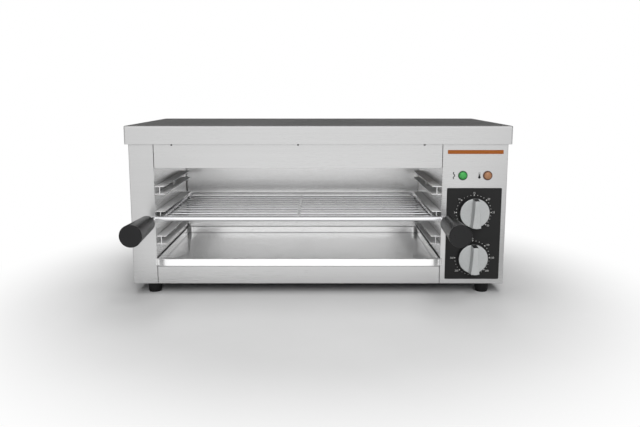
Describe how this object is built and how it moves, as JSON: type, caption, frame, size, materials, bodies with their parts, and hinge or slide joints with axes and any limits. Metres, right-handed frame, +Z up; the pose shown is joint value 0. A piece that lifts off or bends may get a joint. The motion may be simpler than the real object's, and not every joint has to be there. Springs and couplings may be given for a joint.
{
  "type": "cheese melter",
  "caption": "Countertop electric cheese melter in stainless steel, open at the front, with a sliding wire rack on black handles, a drip tray, a timer, a thermostat and lamps.",
  "frame": {"origin": "on the worktop, under the middle of the unit's outline", "axes": "+X to the right seen from the front, +Y to the back, +Z up; the open front faces -Y"},
  "size_m": [0.6136, 0.443, 0.272],
  "materials": {
    "casing_steel": "brushed stainless steel sheet",
    "zinc_steel": "zinc-coated steel sheet",
    "liner_steel": "bright stainless steel sheet",
    "polished_steel": "bright plated steel",
    "screw_steel": "zinc-plated steel",
    "element_sheath": "heat-darkened tube, matte",
    "ceramic": "unglazed steatite",
    "brass": "plain",
    "mineral_wool": "loose fibre",
    "dial_black": "satin black",
    "orange_film": "satin film",
    "knob_grey": "satin",
    "control_case": "moulded resin and steel",
    "copper": "plain copper",
    "green_lens": "translucent",
    "amber_lens": "translucent",
    "black_plastic": "moulded",
    "brown_wire": "insulated wire",
    "blue_wire": "insulated wire",
    "green_wire": "insulated wire",
    "foot_rubber": "matte",
    "handle_black": "satin"
  },
  "bodies": {
    "cabinet": {"top_cover": "casing_steel", "left_side_panel": "casing_steel", "right_side_panel": "casing_steel", "control_panel": "casing_steel", "dial_plate": "dial_black", "accent_stripe": "orange_film", "upper_fascia": "casing_steel", "lower_fascia": "casing_steel", "base_panel": "zinc_steel", "back_panel": "zinc_steel", "left_liner": "liner_steel", "right_liner": "liner_steel", "back_liner": "liner_steel", "cavity_floor": "liner_steel", "reflector": "liner_steel", "insulation_pad": "mineral_wool", "left_rail_lower": "liner_steel", "left_rail_middle": "liner_steel", "left_rail_upper": "liner_steel", "right_rail_lower": "liner_steel", "right_rail_middle": "liner_steel", "right_rail_upper": "liner_steel", "front_element": "element_sheath", "rear_element": "element_sheath", "element_brackets": "zinc_steel", "element_bushes": "ceramic", "element_terminals": "brass", "timer_body": "control_case", "thermostat_body": "control_case", "sensor_bulb": "copper", "capillary_tube": "copper", "bulb_clips": "liner_steel", "green_lens": "green_lens", "amber_lens": "amber_lens", "lamp_bodies": "black_plastic", "terminal_block": "ceramic", "live_wiring": "brown_wire", "neutral_wiring": "blue_wire", "earth_wiring": "green_wire", "earth_stud": "brass", "cord_gland": "black_plastic", "gland_nut": "black_plastic", "front_left_foot": "foot_rubber", "front_right_foot": "foot_rubber", "rear_left_foot": "foot_rubber", "rear_right_foot": "foot_rubber", "foot_screws": "screw_steel", "cover_screws": "screw_steel", "base_screws": "screw_steel", "back_screws": "screw_steel"},
    "rack": {"rack_front_bar": "polished_steel", "rack_frame": "polished_steel", "rack_cross_wires": "polished_steel", "left_handle": "handle_black", "right_handle": "handle_black"},
    "drip_tray": {"drip_tray": "polished_steel"},
    "timer_knob": {"timer_knob": "knob_grey", "timer_shaft": "screw_steel"},
    "thermostat_knob": {"thermostat_knob": "knob_grey", "thermostat_shaft": "screw_steel"}
  },
  "joints": [
    {"name": "rack_slide", "type": "slide", "parent": "cabinet", "child": "rack", "axis": [0, -1, 0], "range_m": [0, 0.21]},
    {"name": "tray_slide", "type": "slide", "parent": "cabinet", "child": "drip_tray", "axis": [0, -1, 0], "range_m": [0, 0.2]},
    {"name": "timer_turn", "type": "hinge", "parent": "cabinet", "child": "timer_knob", "pos_m": [0.2485, -0.0835, 0.1341], "axis": [0, 1, 0], "range_deg": [-135, 135]},
    {"name": "thermostat_turn", "type": "hinge", "parent": "cabinet", "child": "thermostat_knob", "pos_m": [0.2485, -0.0835, 0.0598], "axis": [0, 1, 0], "range_deg": [0, 270]}
  ]
}
